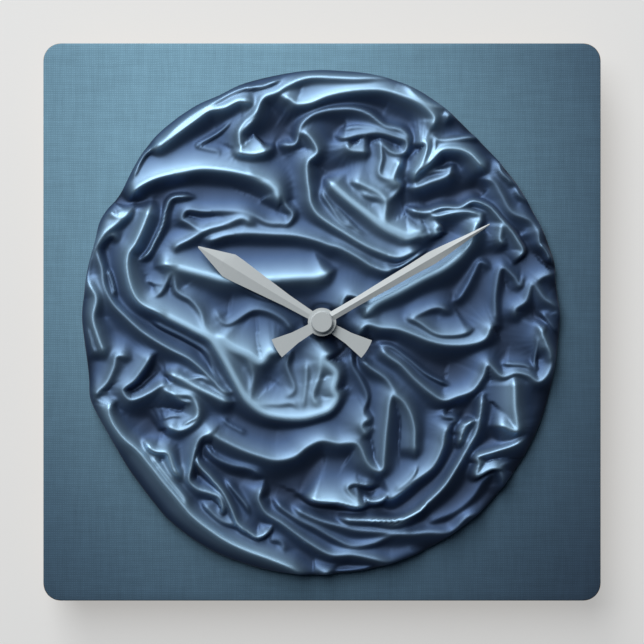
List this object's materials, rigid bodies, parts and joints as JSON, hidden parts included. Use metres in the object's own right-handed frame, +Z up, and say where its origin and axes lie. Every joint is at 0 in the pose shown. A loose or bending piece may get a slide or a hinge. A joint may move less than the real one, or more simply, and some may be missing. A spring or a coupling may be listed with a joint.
{
  "type": "wall clock",
  "caption": "Square wall clock with a linen-covered board, a gathered satin disc, creased metal hands and a battery quartz movement behind.",
  "frame": {"origin": "on the hands' axis, on the back face of the movement's cover, which rests on the wall", "axes": "+X to the right as the clock is read, +Z up towards twelve, +Y backwards into the wall"},
  "size_m": [0.273, 0.0386, 0.273],
  "materials": {
    "face_board_panel": "matt sheet with pale cut edges",
    "linen": "woven, dyed blue-grey",
    "wadding": "soft",
    "satin": "satin weave, shining",
    "brass_bush": "machined",
    "rubber": "matt",
    "case_plastic": "moulded, fine texture",
    "bridge_plastic": "moulded",
    "bobbin_plastic": "moulded",
    "soft_iron": "rolled sheet",
    "copper_wire": "enamelled wire",
    "plated_steel": "nickel-plated",
    "circuit_laminate": "green laminate",
    "chip_resin": "black resin",
    "crystal_can": "drawn can",
    "cell": "plated",
    "cell_jacket": "plain film",
    "cell_seal": "moulded",
    "wheel_plastic": "moulded",
    "hour_plastic": "moulded",
    "magnet": "sintered",
    "brass_pipe": "turned",
    "hand_metal": "satin, light grey",
    "knob_plastic": "moulded"
  },
  "bodies": {
    "clock_frame": {"face_board": "face_board_panel", "linen_facing": "linen", "wadding_disc": "wadding", "satin_drape": "satin", "threaded_bush": "brass_bush", "rubber_gasket": "rubber", "washer": "brass_bush", "hex_nut": "brass_bush", "front_case": "case_plastic", "rear_cover": "case_plastic", "gear_bridge": "bridge_plastic", "coil_core": "soft_iron", "coil_bobbin": "bobbin_plastic", "coil_winding": "copper_wire", "stator": "soft_iron", "motor_screws": "plated_steel", "circuit_board": "circuit_laminate", "chip": "chip_resin", "quartz_crystal": "crystal_can", "positive_contact": "plated_steel", "negative_contact": "plated_steel"},
    "battery": {"battery_can": "cell", "battery_jacket": "cell_jacket", "battery_seal": "cell_seal"},
    "rotor": {"rotor_pinion": "wheel_plastic", "rotor_magnet": "magnet"},
    "step_arbor": {"step_wheel": "wheel_plastic"},
    "seconds_arbor_set": {"seconds_wheel": "wheel_plastic", "seconds_arbor": "plated_steel"},
    "third_arbor": {"third_wheel": "wheel_plastic"},
    "centre_wheel_body": {"centre_wheel": "wheel_plastic"},
    "minute_set": {"minute_pipe": "brass_pipe", "clutch_spring": "plated_steel", "minute_collet": "brass_bush", "minute_hand": "hand_metal", "cap_nut": "hand_metal"},
    "transfer_arbor": {"transfer_wheel": "wheel_plastic"},
    "hour_set": {"hour_wheel": "hour_plastic", "hour_collet": "brass_bush", "hour_hand": "hand_metal"},
    "setting_set": {"setting_shaft": "wheel_plastic", "setting_knob": "knob_plastic"}
  },
  "joints": [
    {"name": "minute_turn", "type": "hinge", "parent": "clock_frame", "child": "minute_set", "pos_m": [0, 0, 0], "axis": [0, 1, 0], "continuous": true},
    {"name": "hour_turn", "type": "hinge", "parent": "clock_frame", "child": "hour_set", "pos_m": [0, 0, 0], "axis": [0, 1, 0], "continuous": true},
    {"name": "transfer_turn", "type": "hinge", "parent": "clock_frame", "child": "transfer_arbor", "pos_m": [0.00789, 0, -0.00287], "axis": [0, 1, 0], "continuous": true},
    {"name": "setting_turn", "type": "hinge", "parent": "clock_frame", "child": "setting_set", "pos_m": [0.01677, 0, 0.00036], "axis": [0, 1, 0], "continuous": true},
    {"name": "rotor_turn", "type": "hinge", "parent": "clock_frame", "child": "rotor", "pos_m": [0.01169, 0, 0.01296], "axis": [0, 1, 0], "continuous": true},
    {"name": "step_turn", "type": "hinge", "parent": "clock_frame", "child": "step_arbor", "pos_m": [0.00538, 0, 0.00932], "axis": [0, 1, 0], "continuous": true},
    {"name": "seconds_turn", "type": "hinge", "parent": "clock_frame", "child": "seconds_arbor_set", "pos_m": [0, 0, 0], "axis": [0, 1, 0], "continuous": true},
    {"name": "third_turn", "type": "hinge", "parent": "clock_frame", "child": "third_arbor", "pos_m": [-0.0105, 0, 0], "axis": [0, 1, 0], "continuous": true},
    {"name": "centre_turn", "type": "hinge", "parent": "clock_frame", "child": "centre_wheel_body", "pos_m": [0, 0, 0], "axis": [0, 1, 0], "continuous": true},
    {"name": "battery_slide", "type": "slide", "parent": "clock_frame", "child": "battery", "axis": [0, 1, 0], "range_m": [0, 0.017]}
  ],
  "couplings": [
    {"joint": "hour_turn", "follows": "minute_turn", "ratio": 0.083333},
    {"joint": "transfer_turn", "follows": "minute_turn", "ratio": -0.33333},
    {"joint": "setting_turn", "follows": "minute_turn", "ratio": 0.66667},
    {"joint": "step_turn", "follows": "rotor_turn", "ratio": -0.16667},
    {"joint": "seconds_turn", "follows": "rotor_turn", "ratio": 0.033333},
    {"joint": "third_turn", "follows": "rotor_turn", "ratio": -0.0044444},
    {"joint": "centre_turn", "follows": "rotor_turn", "ratio": 0.00055556}
  ]
}
